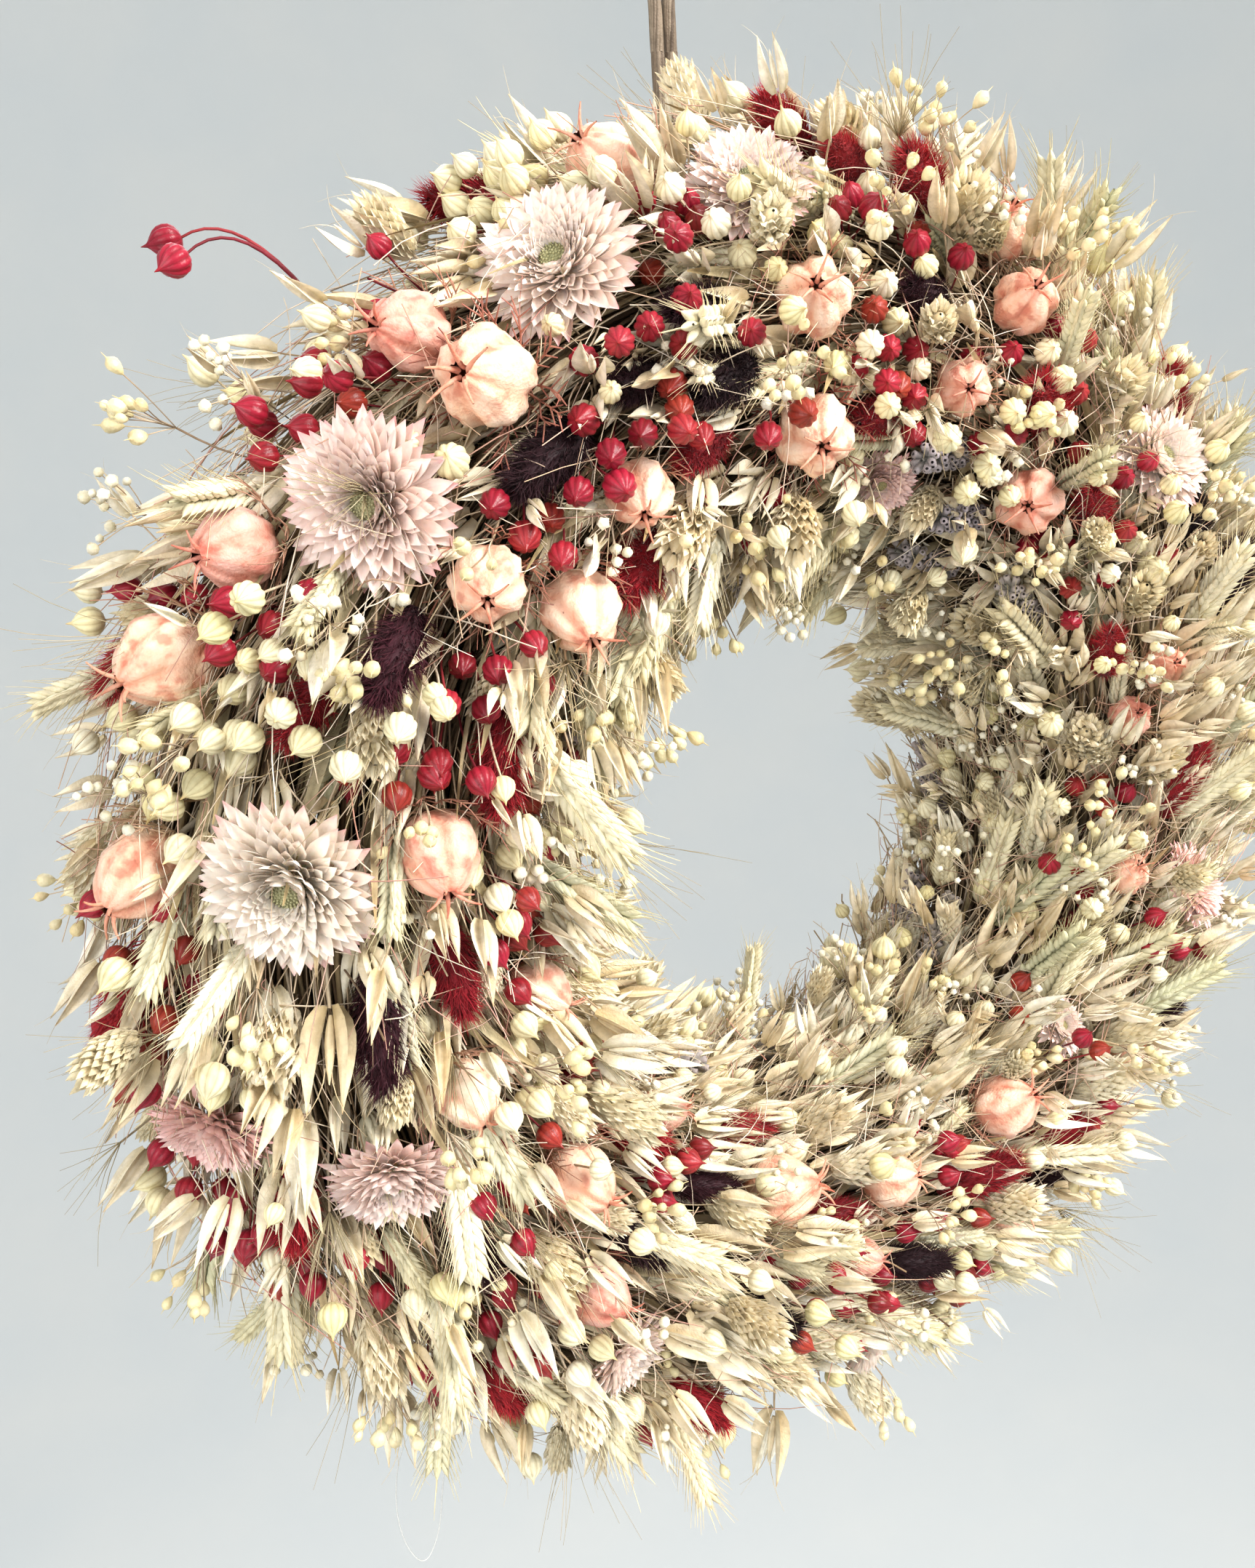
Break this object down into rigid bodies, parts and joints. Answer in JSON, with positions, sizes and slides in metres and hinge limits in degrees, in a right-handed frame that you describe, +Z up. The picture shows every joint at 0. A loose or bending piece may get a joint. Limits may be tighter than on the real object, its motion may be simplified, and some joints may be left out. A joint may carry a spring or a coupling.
{
  "type": "door wreath",
  "caption": "Round wreath of dried flowers, seed pods and grasses bound on a straw ring, hung from a looped cord.",
  "frame": {"origin": "underside of the cord at the top of its loop, where the hook carries it", "axes": "+X right, +Y into the door, +Z up, seen from the front"},
  "size_m": [0.4016, 0.1046, 0.4718],
  "materials": {
    "bast_cord": "rough natural bast fibre",
    "straw": "bound dry straw",
    "binding_thread": "thin natural thread",
    "winding_wire": "dark green lacquered wire",
    "clear_thread": "clear nylon",
    "oat_husk": "papery dry husk",
    "red_pod": "dyed dry pod, slight sheen",
    "petal": "papery petals, pale pink to cream",
    "flower_centre": "dry florets",
    "balloon_pod": "thin papery pod",
    "red_tail": "dyed soft grass fur",
    "dark_tail": "dyed soft grass fur",
    "cream_pod": "bleached dry pod",
    "wheat": "dry greenish straw",
    "canary_grass": "papery scales",
    "lavender": "dry buds, grey purple",
    "dry_stems": "dry stems and grass"
  },
  "bodies": {
    "hook_eye": {"hanger_eye": "bast_cord"},
    "hanger": {"hanger_legs": "bast_cord"},
    "wreath": {"hanger_tails": "bast_cord", "hanger_knot": "bast_cord", "straw_ring": "straw", "straw_binding": "binding_thread", "winding_wire": "winding_wire", "bunch_01": "dry_stems", "bunch_02": "dry_stems", "bunch_03": "dry_stems", "bunch_04": "dry_stems", "bunch_05": "dry_stems", "bunch_06": "dry_stems", "bunch_07": "dry_stems", "bunch_08": "dry_stems", "bunch_09": "dry_stems", "bunch_10": "dry_stems", "bunch_11": "dry_stems", "bunch_12": "dry_stems", "bunch_13": "dry_stems", "bunch_14": "dry_stems", "bunch_15": "dry_stems", "bunch_16": "dry_stems", "thread_loop": "clear_thread", "strawflower_petals": "petal", "strawflower_centres": "flower_centre", "nigella_pods": "balloon_pod", "red_bunny_tails": "red_tail", "dark_bunny_tails": "dark_tail", "red_flax_pods": "red_pod", "cream_flax_pods": "cream_pod", "wheat_ears": "wheat", "canary_grass_heads": "canary_grass", "oat_spikelets": "oat_husk", "lavender_spikes": "lavender"},
    "oat_spray": {"oat_spray": "oat_husk"},
    "pod_pair": {"pod_pair": "red_pod"}
  },
  "joints": [
    {"name": "sway_on_hook", "type": "hinge", "parent": "hook_eye", "child": "hanger", "pos_m": [0, 0, -0.003], "axis": [0, 1, 0], "range_deg": [-8, 8]},
    {"name": "lift_off_door", "type": "hinge", "parent": "hanger", "child": "wreath", "pos_m": [0, 0, -0.036], "axis": [-1, 0, 0], "range_deg": [0, 25]},
    {"name": "oat_spray_nod", "type": "hinge", "parent": "wreath", "child": "oat_spray", "pos_m": [-0.02, -0.057, -0.413], "axis": [0, 1, 0], "range_deg": [-12, 12]},
    {"name": "pod_pair_nod", "type": "hinge", "parent": "wreath", "child": "pod_pair", "pos_m": [-0.111, -0.03, -0.103], "axis": [0, 1, 0], "range_deg": [-8, 8]}
  ]
}
